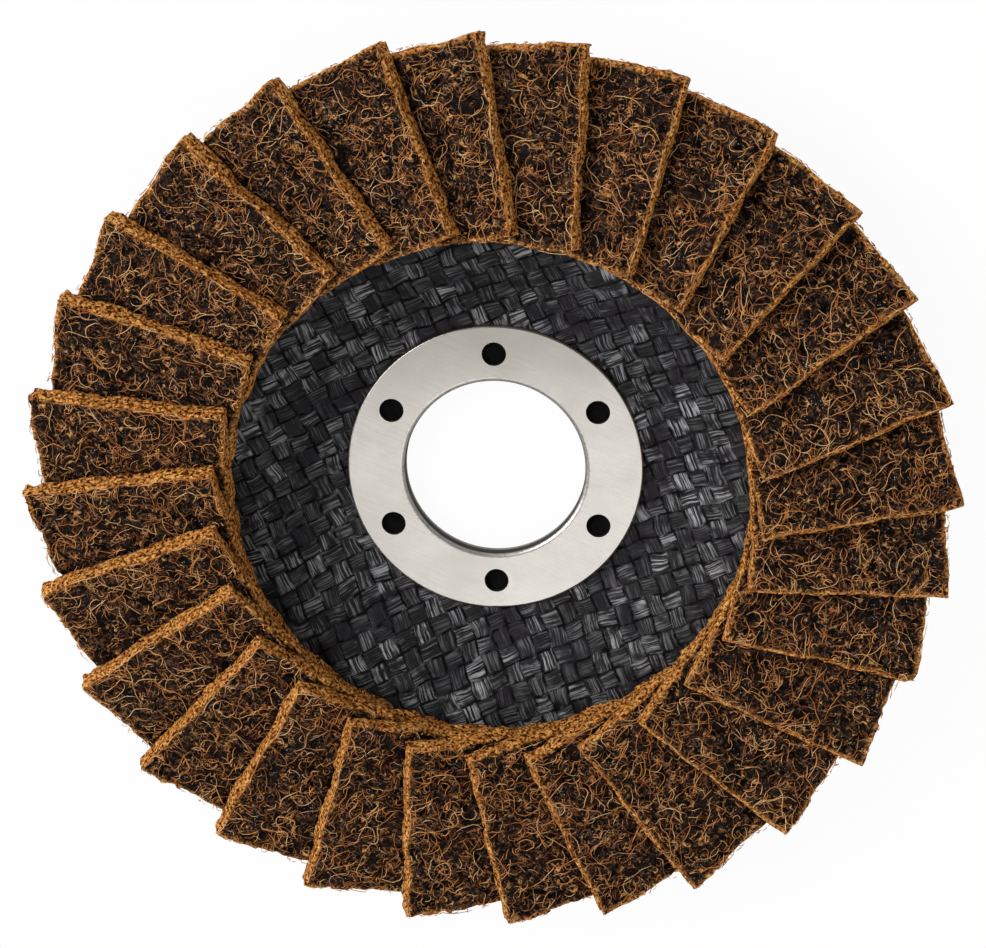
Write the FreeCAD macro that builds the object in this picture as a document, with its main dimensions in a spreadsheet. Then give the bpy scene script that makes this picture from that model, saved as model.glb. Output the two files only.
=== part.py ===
import FreeCAD, Part
import math
import os

import Sketcher

# Flap disc with non-woven flaps on a dished woven-glass backing plate.
# Millimetres. The origin is the centre of the bore on the plate's rear face, where the tool's flange seats.
# +Z runs along the arbor towards the abrasive side, and +Y is the top of the disc as it is usually shown.

# Driving dimensions
SIZES = [
    ("disc_diameter", 115.0, "over the flaps' outer corners"),
    ("bore_diameter", 22.23, "arbor bore, inside the ring's neck"),
    ("flap_overhang", 8.0, "flaps' outer corners beyond the plate's rim"),
    ("plate_wall", 2.3, "backing plate, the same everywhere"),
    ("plate_rim_round", 0.8, "rounding of the plate's rim"),
    ("hub_land", 3.0, "flat of the hub outside the centre ring, to the corner of the dish"),
    ("dish_depth", 4.7, "rise from the hub to the flange"),
    ("dish_angle", 28.0, "slope of the dish wall, degrees"),
    ("dish_round", 6.0, "inner rounding of both bends of the dish"),
    ("bond_line", 0.15, "resin between the plate and its face cloth"),
    ("cloth_ground", 0.15, "face cloth between its rovings"),
    ("roving_rise", 0.25, "height of a roving over the ground"),
    ("roving_pitch", 2.2, "spacing of the rovings, both ways"),
    ("weave_turn", 22.0, "turn of the weave about the axis, degrees"),
    ("cloth_lap", 2.4, "how far the face cloth runs under the flaps"),
    ("ring_diameter", 36.5, "centre ring"),
    ("ring_sheet", 0.6, "sheet of the centre ring"),
    ("ring_bend", 0.6, "rounding from the ring's face into its neck"),
    ("ring_edge_round", 0.2, "rounding of the ring's outer edge"),
    ("neck_depth", 1.95, "ring face to the end of the neck"),
    ("neck_clearance", 0.05, "between the neck and the holes around it"),
    ("ring_hole_diameter", 3.0, "keying holes of the ring"),
    ("ring_hole_count", 6, "keying holes"),
    ("flap_count", 28, "flaps"),
    ("first_flap_turn", 3.2, "first flap's own radius, clockwise from +Y, degrees"),
    ("flap_thickness", 2.95, "one flap, measured along the axis"),
    ("flap_clearance", 0.1, "between one flap and the next"),
    ("flap_setback", 1.73, "flaps' inner ends beyond the flange's corner"),
    ("free_offset", 9.55, "free edge from the flap's own radius"),
    ("root_offset", 15.5, "glued edge from the flap's own radius"),
    ("flap_lean", 17.5, "lean of the cut side faces, degrees"),
    ("flap_rake", 7.5, "lean of the cut end faces, degrees"),
    ("adhesive_inset", 1.0, "adhesive bed from the plate's rim"),
    ("adhesive_gap", 0.4, "adhesive bed from the face cloth"),
]

# Places worked out from the sizes, written as expressions over the sheet
CLOTH_WALL = "(Sizes.cloth_ground + Sizes.roving_rise)"
HUB_TOP = f"(Sizes.plate_wall + Sizes.bond_line + {CLOTH_WALL})"
FLAP_SEAT = f"({HUB_TOP} + Sizes.dish_depth)"
RING_FACE = f"({HUB_TOP} + Sizes.ring_sheet)"
PLATE_BORE = "(Sizes.bore_diameter / 2 + Sizes.ring_sheet + Sizes.neck_clearance)"
HUB_CORNER = "(Sizes.ring_diameter / 2 + Sizes.hub_land)"
FLANGE_CORNER = f"({HUB_CORNER} + Sizes.dish_depth / tan(Sizes.dish_angle))"
WALL_SHIFT = "(Sizes.plate_wall * tan(Sizes.dish_angle / 2))"
PLATE_RADIUS = "(Sizes.disc_diameter / 2 - Sizes.flap_overhang)"
HOLE_CIRCLE = "((Sizes.bore_diameter + Sizes.ring_diameter) / 2)"
FLAP_OUTER = (
    "(sqrt(pow(Sizes.disc_diameter / 2; 2) - pow(Sizes.free_offset; 2))"
    " - Sizes.flap_thickness * sin(Sizes.flap_rake))"
)
FLAP_INNER = f"({FLANGE_CORNER} + Sizes.flap_setback)"
FLAP_LENGTH = f"({FLAP_OUTER} - {FLAP_INNER})"
CLOTH_EDGE = f"({FLAP_INNER} + Sizes.cloth_lap)"
FLAP_STEP = "(360 / Sizes.flap_count)"
FLAP_RISE = "(Sizes.flap_thickness + Sizes.flap_clearance)"

# How far the ramp that a flap is cut from runs past the flap, in millimetres and degrees
RAMP_MARGIN = 1.0
SWEEP_MARGIN = 3.0

doc = FreeCAD.newDocument("FlapDisc")
sheet = doc.addObject("Spreadsheet::Sheet", "Sizes")
for row, (alias, value, note) in enumerate(SIZES, start=1):
    sheet.set(f"A{row}", note)
    sheet.set(f"B{row}", str(value))
    sheet.setAlias(f"B{row}", alias)
doc.recompute()


def new_body(label):
    body = doc.addObject("PartDesign::Body", label)
    body.Label = label
    return body


def new_sketch(body, name, plane_role):
    plane = next(item for item in body.Origin.OriginFeatures if item.Role == plane_role)
    sketch = body.newObject("Sketcher::SketchObject", name)
    sketch.AttachmentSupport = [(plane, "")]
    sketch.MapMode = "FlatFace"
    return sketch


def draw_outline(sketch, corners):
    """Draw a closed outline through corners given as pairs of expressions for across and up."""
    count = len(corners)
    rough = [
        FreeCAD.Vector(2 + math.cos(2 * math.pi * index / count), math.sin(2 * math.pi * index / count), 0)
        for index in range(count)
    ]
    for index in range(count):
        sketch.addGeometry(Part.LineSegment(rough[index], rough[(index + 1) % count]))
    for index in range(count):
        sketch.addConstraint(Sketcher.Constraint("Coincident", index, 2, (index + 1) % count, 1))
    for index, pair in enumerate(corners):
        for axis, place in zip(("DistanceX", "DistanceY"), pair):
            here = sketch.getPoint(index, 1)
            value = here.x if axis == "DistanceX" else here.y
            number = sketch.addConstraint(Sketcher.Constraint(axis, -1, 1, index, 1, value))
            sketch.setExpression(f"Constraints[{number}]", place)


def revolve(body, sketch):
    feature = body.newObject("PartDesign::Revolution", "Turned")
    feature.Profile = sketch
    feature.ReferenceAxis = (sketch, ["V_Axis"])
    feature.Angle = 360
    doc.recompute()
    return feature


def number_of(expression):
    """The value of an expression over the sheet, for the places that plain code needs."""
    return float(sheet.evalExpression(expression))


def round_circle(body, name, radius, height, size):
    """Round the circular edge of the body's last feature that lies at a radius and a height."""
    base = body.Tip
    names = []
    for number, edge in enumerate(base.Shape.Edges, start=1):
        if not isinstance(edge.Curve, Part.Circle):
            continue
        same_radius = abs(edge.Curve.Radius - number_of(radius)) < 0.001
        same_height = abs(edge.Curve.Center.z - number_of(height)) < 0.001
        if same_radius and same_height:
            names.append(f"Edge{number}")
    fillet = body.newObject("PartDesign::Fillet", name)
    fillet.Base = (base, names)
    fillet.setExpression("Radius", size)
    doc.recompute()
    return fillet


# Backing plate: one wall thickness, flat hub, dished wall and flat flange
plate = new_body("backing_plate")
plate_rear_hub = f"{HUB_CORNER} + {WALL_SHIFT}"
plate_rear_flange = f"{FLANGE_CORNER} + {WALL_SHIFT}"
flange_top = "Sizes.plate_wall + Sizes.dish_depth"
plate_sketch = new_sketch(plate, "plate_section", "XZ_Plane")
draw_outline(plate_sketch, [
    (PLATE_BORE, "0"),
    (plate_rear_hub, "0"),
    (plate_rear_flange, "Sizes.dish_depth"),
    (PLATE_RADIUS, "Sizes.dish_depth"),
    (PLATE_RADIUS, flange_top),
    (FLANGE_CORNER, flange_top),
    (HUB_CORNER, "Sizes.plate_wall"),
    (PLATE_BORE, "Sizes.plate_wall"),
])
revolve(plate, plate_sketch)
outer_bend = "Sizes.dish_round + Sizes.plate_wall"
round_circle(plate, "hub_bend_front", HUB_CORNER, "Sizes.plate_wall", "Sizes.dish_round")
round_circle(plate, "hub_bend_rear", plate_rear_hub, "0", outer_bend)
round_circle(plate, "flange_bend_front", FLANGE_CORNER, flange_top, outer_bend)
round_circle(plate, "flange_bend_rear", plate_rear_flange, "Sizes.dish_depth", "Sizes.dish_round")
round_circle(plate, "rim_front", PLATE_RADIUS, flange_top, "Sizes.plate_rim_round")
round_circle(plate, "rim_rear", PLATE_RADIUS, "Sizes.dish_depth", "Sizes.plate_rim_round")


# Centre ring: pressed sheet with a neck turned into the bore and six keying holes
ring = new_body("centre_ring")
bore_radius = "Sizes.bore_diameter / 2"
ring_radius = "Sizes.ring_diameter / 2"
neck_radius = "Sizes.bore_diameter / 2 + Sizes.ring_sheet"
neck_end = f"{RING_FACE} - Sizes.neck_depth"
ring_sketch = new_sketch(ring, "ring_section", "XZ_Plane")
draw_outline(ring_sketch, [
    (bore_radius, neck_end),
    (neck_radius, neck_end),
    (neck_radius, HUB_TOP),
    (ring_radius, HUB_TOP),
    (ring_radius, RING_FACE),
    (bore_radius, RING_FACE),
])
revolve(ring, ring_sketch)
round_circle(ring, "neck_bend", bore_radius, RING_FACE, "Sizes.ring_bend")
round_circle(ring, "ring_edge", ring_radius, RING_FACE, "Sizes.ring_edge_round")

hole_sketch = new_sketch(ring, "keying_hole", "XY_Plane")
hole_radius = sheet.ring_hole_diameter / 2
hole_centre = FreeCAD.Vector(0, number_of(HOLE_CIRCLE) / 2, 0)
hole_sketch.addGeometry(Part.Circle(hole_centre, FreeCAD.Vector(0, 0, 1), hole_radius))
hole_sketch.addConstraint(Sketcher.Constraint("PointOnObject", 0, 3, -2))
lift = hole_sketch.addConstraint(Sketcher.Constraint("DistanceY", -1, 1, 0, 3, hole_centre.y))
hole_sketch.setExpression(f"Constraints[{lift}]", f"{HOLE_CIRCLE} / 2")
width = hole_sketch.addConstraint(Sketcher.Constraint("Diameter", 0, 2 * hole_radius))
hole_sketch.setExpression(f"Constraints[{width}]", "Sizes.ring_hole_diameter")
hole = ring.newObject("PartDesign::Pocket", "keying_hole_cut")
hole.Profile = hole_sketch
hole.Type = "ThroughAll"
hole.Midplane = True
doc.recompute()
holes = ring.newObject("PartDesign::PolarPattern", "keying_holes")
holes.Originals = [hole]
holes.Axis = (hole_sketch, ["N_Axis"])
holes.Angle = 360
holes.setExpression("Occurrences", "Sizes.ring_hole_count")
ring.Tip = holes
doc.recompute()


# Adhesive bed between the plate's flange and the flaps
adhesive = new_body("adhesive_bed")
adhesive_inner = f"{CLOTH_EDGE} + Sizes.adhesive_gap"
adhesive_outer = f"{PLATE_RADIUS} - Sizes.adhesive_inset"
adhesive_sketch = new_sketch(adhesive, "bed_section", "XZ_Plane")
draw_outline(adhesive_sketch, [
    (adhesive_inner, flange_top),
    (adhesive_outer, flange_top),
    (adhesive_outer, FLAP_SEAT),
    (adhesive_inner, FLAP_SEAT),
])
revolve(adhesive, adhesive_sketch)


# Face cloth: plain weave of flat rovings, pressed into the dish and punched out as a ring
def dish_height(radius):
    """Height of the dish over the hub's level at a radius, with both bends rounded."""
    slope = math.radians(sheet.dish_angle)
    depth = sheet.dish_depth
    near, far = number_of(HUB_CORNER), number_of(FLANGE_CORNER)
    near_round = sheet.dish_round
    far_round = sheet.dish_round + sheet.plate_wall
    near_start = near - near_round * math.tan(slope / 2)
    far_end = far + far_round * math.tan(slope / 2)
    if radius <= near_start:
        return 0.0
    if radius <= near_start + near_round * math.sin(slope):
        return near_round - math.sqrt(near_round ** 2 - (radius - near_start) ** 2)
    if radius <= far_end - far_round * math.sin(slope):
        return (radius - near) * math.tan(slope)
    if radius <= far_end:
        return depth - far_round + math.sqrt(far_round ** 2 - (far_end - radius) ** 2)
    return depth


class Weave:
    """A patch of plain weave, whose corner points and edges are kept once each so that its faces join."""

    # A roving's top stands back from its cell by these shares of the pitch: at its ends and at its sides
    END_SHARE = 0.3
    SIDE_SHARE = 0.09
    FLATNESS = 1e-6

    def __init__(self):
        self.points = []
        self.numbers = {}
        self.edges = {}
        self.faces = []

    def point(self, across, along, lift):
        """A point by its place in the weave, in pitches, and its height over the cloth's back."""
        key = (round(across, 4), round(along, 4), round(lift, 4))
        if key not in self.numbers:
            x, y = across * sheet.roving_pitch, along * sheet.roving_pitch
            level = sheet.plate_wall + sheet.bond_line + dish_height(math.hypot(x, y))
            self.numbers[key] = len(self.points)
            self.points.append(FreeCAD.Vector(x, y, level + lift))
        return self.numbers[key]

    def edge(self, first, second):
        key = (min(first, second), max(first, second))
        if key not in self.edges:
            self.edges[key] = Part.makeLine(self.points[key[0]], self.points[key[1]])
        return self.edges[key]

    def face(self, corners):
        after = corners[1:] + corners[:1]
        self.faces.append(Part.Face(Part.Wire([self.edge(*pair) for pair in zip(corners, after)])))

    def quad(self, corners):
        """A four-cornered face, in two halves where the dish bends it."""
        start, *others = [self.points[corner] for corner in corners]
        sides = [other - start for other in others]
        normal = sides[0].cross(sides[1]).normalize()
        if abs(normal.dot(sides[2])) < self.FLATNESS:
            self.face(corners)
            return
        self.face([corners[0], corners[1], corners[2]])
        self.face([corners[0], corners[2], corners[3]])

    def cell(self, column, line):
        """One crossing: the roving on top is a pad with steep sides and easy ends, over a flat back."""
        along_column = (column + line) % 2 == 0
        side, end = self.SIDE_SHARE, self.END_SHARE
        inset_x, inset_y = (side, end) if along_column else (end, side)
        ground, top = sheet.cloth_ground, sheet.cloth_ground + sheet.roving_rise
        square = [(0, 0), (1, 0), (1, 1), (0, 1)]
        rim = [self.point(column + u, line + v, ground) for u, v in square]
        pad = [
            self.point(column + u + inset_x * (1 - 2 * u), line + v + inset_y * (1 - 2 * v), top)
            for u, v in square
        ]
        back = [self.point(column + u, line + v, 0) for u, v in square]
        self.quad(pad)
        for index in range(4):
            after = (index + 1) % 4
            self.quad([rim[index], rim[after], pad[after], pad[index]])
        self.quad([back[0], back[3], back[2], back[1]])

    def wall(self, column, line, first, second):
        """The edge of the patch along one side of a cell."""
        start = (column + first[0], line + first[1])
        end = (column + second[0], line + second[1])
        ground = sheet.cloth_ground
        self.quad([
            self.point(*start, 0), self.point(*end, 0),
            self.point(*end, ground), self.point(*start, ground),
        ])

    def solid(self, cells):
        """The patch of these cells as one solid, closed where a cell has no neighbour."""
        square = [(0, 0), (1, 0), (1, 1), (0, 1)]
        neighbours = [(0, -1), (1, 0), (0, 1), (-1, 0)]
        for column, line in cells:
            self.cell(column, line)
            for index, step in enumerate(neighbours):
                if (column + step[0], line + step[1]) not in cells:
                    self.wall(column, line, square[index], square[(index + 1) % 4])
        return Part.makeSolid(Part.makeShell(self.faces))


def quarter_cells(inner_radius, outer_radius):
    """The cells of one quarter of the weave that the ring between two radii touches."""
    pitch = sheet.roving_pitch
    reach = math.ceil(outer_radius / pitch)
    return [
        (column, line) for column in range(reach) for line in range(reach)
        if math.hypot(column, line) * pitch < outer_radius
        and math.hypot(column + 1, line + 1) * pitch > inner_radius
    ]


def punched_weave(inner_radius, outer_radius):
    """The woven ring. The weave repeats at each quarter turn, so one quarter is made and turned."""
    tall = number_of(RING_FACE) + sheet.dish_depth
    punch = Part.makeCylinder(outer_radius, tall).cut(Part.makeCylinder(inner_radius, tall))
    quarter = Weave().solid(quarter_cells(inner_radius, outer_radius)).common(punch)
    quarters = []
    for index in range(4):
        turned = quarter.Solids[0].copy()
        turned.rotate(FreeCAD.Vector(0, 0, 0), FreeCAD.Vector(0, 0, 1), 90 * index)
        quarters.append(turned)
    return quarters[0].multiFuse(quarters[1:])


cloth = doc.addObject("Part::Feature", "face_cloth")
cloth.Label = "face_cloth"
cloth.Shape = punched_weave(number_of(PLATE_BORE), number_of(CLOTH_EDGE))
cloth.Placement = FreeCAD.Placement(
    FreeCAD.Vector(0, 0, 0), FreeCAD.Rotation(FreeCAD.Vector(0, 0, 1), sheet.weave_turn)
)


# Flaps: equal twisted sheets, each a helical ramp that rises over the next one by its own thickness
root_sweep = f"(atan(Sizes.root_offset / {FLAP_INNER}) + {SWEEP_MARGIN} deg)"
free_sweep = f"(atan(Sizes.free_offset / {FLAP_INNER}) + {SWEEP_MARGIN} deg)"
full_turns = f"(({root_sweep} + {free_sweep}) / 360 deg)"
sheet_near = f"({FLAP_INNER} - {RAMP_MARGIN})"
sheet_far = f"(Sizes.disc_diameter / 2 + {RAMP_MARGIN})"


def ramp_level(radius):
    """Height of a flap's underside at the start of its sweep: at its glued edge it lies on the seat."""
    lead = f"(asin(Sizes.free_offset / {radius}) - {root_sweep}) / 360 deg"
    return f"{FLAP_SEAT} + {FLAP_RISE} * Sizes.flap_count * ({lead})"


ramp = new_body("flap_ramp")
ramp.setExpression(
    "Placement", f"placement(vector(0; 0; 0); rotation(vector(0; 0; 1); {root_sweep}))"
)
ramp_sketch = new_sketch(ramp, "flap_section", "XZ_Plane")
draw_outline(ramp_sketch, [
    (sheet_near, ramp_level(sheet_near)),
    (sheet_far, ramp_level(sheet_far)),
    (sheet_far, f"{ramp_level(sheet_far)} + Sizes.flap_thickness"),
    (sheet_near, f"{ramp_level(sheet_near)} + Sizes.flap_thickness"),
])
doc.recompute()
sweep = ramp.newObject("PartDesign::AdditiveHelix", "flap_twist")
sweep.Profile = ramp_sketch
sweep.ReferenceAxis = (ramp_sketch, ["V_Axis"])
sweep.Mode = "height-turns-angle"
sweep.setExpression("Turns", full_turns)
sweep.setExpression("Height", f"{FLAP_RISE} * Sizes.flap_count * {full_turns}")
sweep.LeftHanded = True
doc.recompute()

# The flap's cut outline: a block that leans with the sheet, held at the free edge's lower inner corner
blank_width = "(Sizes.free_offset + Sizes.root_offset)"
blank_depth = "(4 * Sizes.flap_thickness)"
corner_turn = f"(2 * asin(Sizes.free_offset / {FLAP_INNER}) / 360 deg)"
free_corner = f"({FLAP_SEAT} + {FLAP_RISE} * Sizes.flap_count * {corner_turn})"
blank = doc.addObject("Part::Box", "flap_blank")
blank.setExpression("Length", f"{FLAP_LENGTH} / cos(Sizes.flap_rake)")
blank.setExpression("Width", f"{blank_width} / cos(Sizes.flap_lean)")
blank.setExpression("Height", f"2 * {blank_depth}")
lean = "rotation(vector(0; 1; 0); Sizes.flap_rake) * rotation(vector(1; 0; 0); -Sizes.flap_lean)"
blank.setExpression(
    "Placement",
    f"placement(vector({FLAP_INNER}; -Sizes.free_offset; {free_corner}); {lean})"
    f" * placement(vector(0; 0; -{blank_depth}); rotation(vector(0; 0; 1); 0))",
)

# Nothing of a flap lies below the seat, where its root is squeezed to a wedge, or outside the disc's diameter
room = doc.addObject("Part::Cylinder", "flap_room")
room.setExpression("Radius", "Sizes.disc_diameter / 2")
room.setExpression("Height", f"2 * Sizes.flap_count * {FLAP_RISE}")
room.setExpression("Placement", f"placement(vector(0; 0; {FLAP_SEAT}); rotation(vector(0; 0; 1); 0))")

flaps = []
for index in range(int(sheet.flap_count)):
    label = f"flap_{index + 1:02d}"
    flap = doc.addObject("Part::MultiCommon", label)
    flap.Label = label
    flap.Shapes = [ramp, blank, room]
    flap.setExpression(
        "Placement",
        "placement(vector(0; 0; 0); rotation(vector(0; 0; 1);"
        f" 90 - Sizes.first_flap_turn - {index} * {FLAP_STEP}))",
    )
    flaps.append(flap)
doc.recompute()


# Check every object and write every piece
for item in doc.Objects:
    if "Invalid" in item.State or "Error" in item.State:
        raise RuntimeError(f"{item.Label} failed: {item.State}")

pieces = [plate, cloth, adhesive, ring] + flaps
for piece in pieces:
    shape = piece.Shape
    if shape.isNull() or not shape.isValid():
        raise RuntimeError(f"{piece.Label} has no valid shape")
    if len(shape.Solids) != 1:
        raise RuntimeError(f"{piece.Label} has {len(shape.Solids)} solids")

os.makedirs("parts", exist_ok=True)
for piece in pieces:
    piece.Shape.exportStep(f"parts/{piece.Label}.step")
    print(piece.Label, round(piece.Shape.Volume, 2), "mm3")
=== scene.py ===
"""Looks of the flap disc: non-woven flaps, woven face cloth, steel ring and backing plate.

Metres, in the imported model's own frame: Z is the bore's axis, the abrasive side looks along +Z and
the top of the disc, as it is usually shown, is +Y. Sizes named in the classes are in millimetres,
and the scale of a shader's noise is in lumps a millimetre.
"""

import logging
import math
from dataclasses import dataclass, field
from enum import Enum

import bmesh
import bpy
import numpy as np
from mathutils import Matrix, Vector, noise
from mathutils.kdtree import KDTree

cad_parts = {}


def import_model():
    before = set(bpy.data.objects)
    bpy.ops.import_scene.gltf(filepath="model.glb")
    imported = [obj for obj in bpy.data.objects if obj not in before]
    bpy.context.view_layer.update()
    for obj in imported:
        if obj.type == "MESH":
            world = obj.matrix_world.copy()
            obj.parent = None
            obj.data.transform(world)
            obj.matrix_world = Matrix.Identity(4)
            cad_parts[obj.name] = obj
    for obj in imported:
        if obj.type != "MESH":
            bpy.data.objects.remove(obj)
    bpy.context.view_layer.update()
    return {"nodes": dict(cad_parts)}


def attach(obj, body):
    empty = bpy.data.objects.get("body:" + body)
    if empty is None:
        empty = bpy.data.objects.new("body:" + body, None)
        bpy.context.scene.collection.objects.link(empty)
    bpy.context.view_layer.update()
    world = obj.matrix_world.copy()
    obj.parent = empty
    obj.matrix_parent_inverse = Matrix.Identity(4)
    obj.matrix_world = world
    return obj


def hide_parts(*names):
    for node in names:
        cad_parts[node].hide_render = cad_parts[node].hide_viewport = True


LOG = logging.getLogger("flap_disc")
MM = 0.001
Colour = tuple[float, float, float]
Socket = bpy.types.NodeSocket
Material = bpy.types.Material
Tree = bpy.types.NodeTree


def rgba(colour: Colour) -> tuple[float, float, float, float]:
    """The colour as an opaque socket value."""
    return (*colour, 1.0)


def smooth_step(low: float, high: float, value: np.ndarray) -> np.ndarray:
    """Ease from 0 at low to 1 at high.

    Args:
        low: Value at which the result is 0.
        high: Value at which the result is 1. It may be below low.
        value: Values to ease.

    Returns:
        The eased values, from 0 to 1.
    """
    share = np.clip((value - low) / (high - low), 0.0, 1.0)
    return share * share * (3.0 - 2.0 * share)


def noise_of(points: np.ndarray, scale: float, shift: float) -> np.ndarray:
    """Smooth noise at each point, from about -1 to 1.

    Args:
        points: Places in millimetres, one a row.
        scale: Size of the noise's lumps, in millimetres.
        shift: Offset that sets one noise apart from another.

    Returns:
        One value for each point.
    """
    places = points / scale + shift
    return np.array([noise.noise(Vector(place)) for place in places])


def turned(points: np.ndarray, degrees: float) -> np.ndarray:
    """The points turned about Z, counter-clockwise seen from the abrasive side."""
    angle = math.radians(degrees)
    turn = np.array([[math.cos(angle), math.sin(angle), 0], [-math.sin(angle), math.cos(angle), 0], [0, 0, 1]])
    return points @ turn


def linked(name: str, data: bpy.types.ID) -> bpy.types.Object:
    """A new object of the data, linked into the scene."""
    thing = bpy.data.objects.new(name, data)
    bpy.context.scene.collection.objects.link(thing)
    return thing


def finished_mesh(holder: bpy.types.Object) -> bpy.types.Mesh:
    """The mesh that an object's modifiers or section give. The object goes."""
    mesh = bpy.data.meshes.new_from_object(holder.evaluated_get(bpy.context.evaluated_depsgraph_get()))
    bpy.data.objects.remove(holder)
    return mesh


# Shader nodes


class NodeDesk:
    """Places nodes in one material's or group's tree and joins their sockets."""

    def __init__(self, tree: Tree) -> None:
        """Keep the tree that the nodes go into."""
        self.tree = tree

    def feed(self, socket: Socket, value: object) -> None:
        """Link the value to the socket, or set it there if it is a plain number, vector or colour."""
        if isinstance(value, Socket):
            self.tree.links.new(value, socket)
        else:
            socket.default_value = value

    def add(self, kind: str, inputs: dict | None = None, **settings: object) -> bpy.types.Node:
        """Place a node.

        Args:
            kind: The node's type.
            inputs: Values or sockets by input name.
            settings: Properties of the node itself.

        Returns:
            The new node.
        """
        node = self.tree.nodes.new(kind)
        for name, value in settings.items():
            setattr(node, name, value)
        for name, value in (inputs or {}).items():
            self.feed(node.inputs[name], value)
        return node

    def math(self, operation: str, first: object, second: object = 0.0, clamp: bool = False) -> Socket:
        """The result of a Math node on two values."""
        node = self.tree.nodes.new("ShaderNodeMath")
        node.operation = operation
        node.use_clamp = clamp
        self.feed(node.inputs[0], first)
        self.feed(node.inputs[1], second)
        return node.outputs[0]

    def times(self, first: object, second: object) -> Socket:
        """The product of two values."""
        return self.math("MULTIPLY", first, second)

    def vector(self, operation: str, first: object, second: object) -> Socket:
        """The vector that a Vector Math node makes of two vectors."""
        node = self.tree.nodes.new("ShaderNodeVectorMath")
        node.operation = operation
        self.feed(node.inputs[0], first)
        self.feed(node.inputs[1], second)
        return node.outputs[0]

    def from_middle(self, share: object) -> Socket:
        """How far a share of a width is from its middle: 0 there and 1 at either side."""
        return self.math("ABSOLUTE", self.math("SUBTRACT", self.times(share, 2.0), 1.0))

    def reach(self, parts: bpy.types.NodeOutputs) -> Socket:
        """Distance from the bore's axis, of a place given as its three parts."""
        squares = self.math("ADD", self.math("POWER", parts[0], 2.0), self.math("POWER", parts[1], 2.0))
        return self.math("SQRT", squares)

    def mix(self, share: object, first: object, second: object) -> Socket:
        """The colour between two colours."""
        node = self.tree.nodes.new("ShaderNodeMix")
        node.data_type = "RGBA"
        for number, value in ((0, share), (6, first), (7, second)):
            self.feed(node.inputs[number], rgba(value) if isinstance(value, tuple) else value)
        return node.outputs[2]

    def blend(self, share: object, first: object, second: object) -> Socket:
        """The number between two numbers."""
        node = self.tree.nodes.new("ShaderNodeMix")
        for number, value in ((0, share), (2, first), (3, second)):
            self.feed(node.inputs[number], value)
        return node.outputs[0]

    def ease(self, value: object, low: float, high: float) -> Socket:
        """Ease a value from 0 at low to 1 at high."""
        inputs = {"Value": value, "From Min": low, "From Max": high}
        return self.add("ShaderNodeMapRange", inputs, interpolation_type="SMOOTHSTEP").outputs[0]

    def ramp(self, value: object, stops: tuple[tuple[float, Colour], ...]) -> Socket:
        """Colour a value by a ramp of places and colours."""
        node = self.add("ShaderNodeValToRGB", {"Fac": value})
        elements = node.color_ramp.elements
        while len(elements) < len(stops):
            elements.new(0.5)
        for element, (place, colour) in zip(elements, stops):
            element.position = place
            element.color = rgba(colour)
        return node.outputs[0]

    def noise(self, place: object, scale: float, detail: float = 2.0, distortion: float = 0.0) -> Socket:
        """Soft noise from 0 to 1, with scale in lumps a unit."""
        inputs = {"Vector": place, "Scale": scale, "Detail": detail, "Distortion": distortion}
        return self.add("ShaderNodeTexNoise", inputs).outputs["Fac"]

    def use(self, group: Tree, **inputs: object) -> bpy.types.Node:
        """Place a node group with its inputs' values."""
        node = self.add("ShaderNodeGroup", node_tree=group)
        for name, value in inputs.items():
            self.feed(node.inputs[name], value)
        return node

    def millimetres(self) -> Socket:
        """Object coordinates in millimetres."""
        place = self.add("ShaderNodeTexCoord").outputs["Object"]
        return self.vector("MULTIPLY", place, (1 / MM, 1 / MM, 1 / MM))

    def bump(self, height: object, distance: float, strength: float, normal: object = None) -> Socket:
        """The normal that a height gives, on top of another if one is given."""
        inputs = {"Height": height, "Distance": distance * MM, "Strength": strength}
        if normal is not None:
            inputs["Normal"] = normal
        return self.add("ShaderNodeBump", inputs).outputs["Normal"]


def open_group(name: str, inputs: dict[str, str], outputs: dict[str, str]) -> tuple[Tree, NodeDesk, dict, dict]:
    """Start a node group.

    Args:
        name: The group's name.
        inputs: Socket types by input name.
        outputs: Socket types by output name.

    Returns:
        The group, a desk for its nodes, the group's input sockets and its output sockets.
    """
    group = bpy.data.node_groups.new(name, "ShaderNodeTree")
    for label, kind in inputs.items():
        group.interface.new_socket(name=label, in_out="INPUT", socket_type=kind)
    for label, kind in outputs.items():
        group.interface.new_socket(name=label, in_out="OUTPUT", socket_type=kind)
    desk = NodeDesk(group)
    taken = desk.add("NodeGroupInput").outputs
    given = desk.add("NodeGroupOutput").inputs
    return group, desk, {label: taken[label] for label in inputs}, {label: given[label] for label in outputs}


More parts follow.
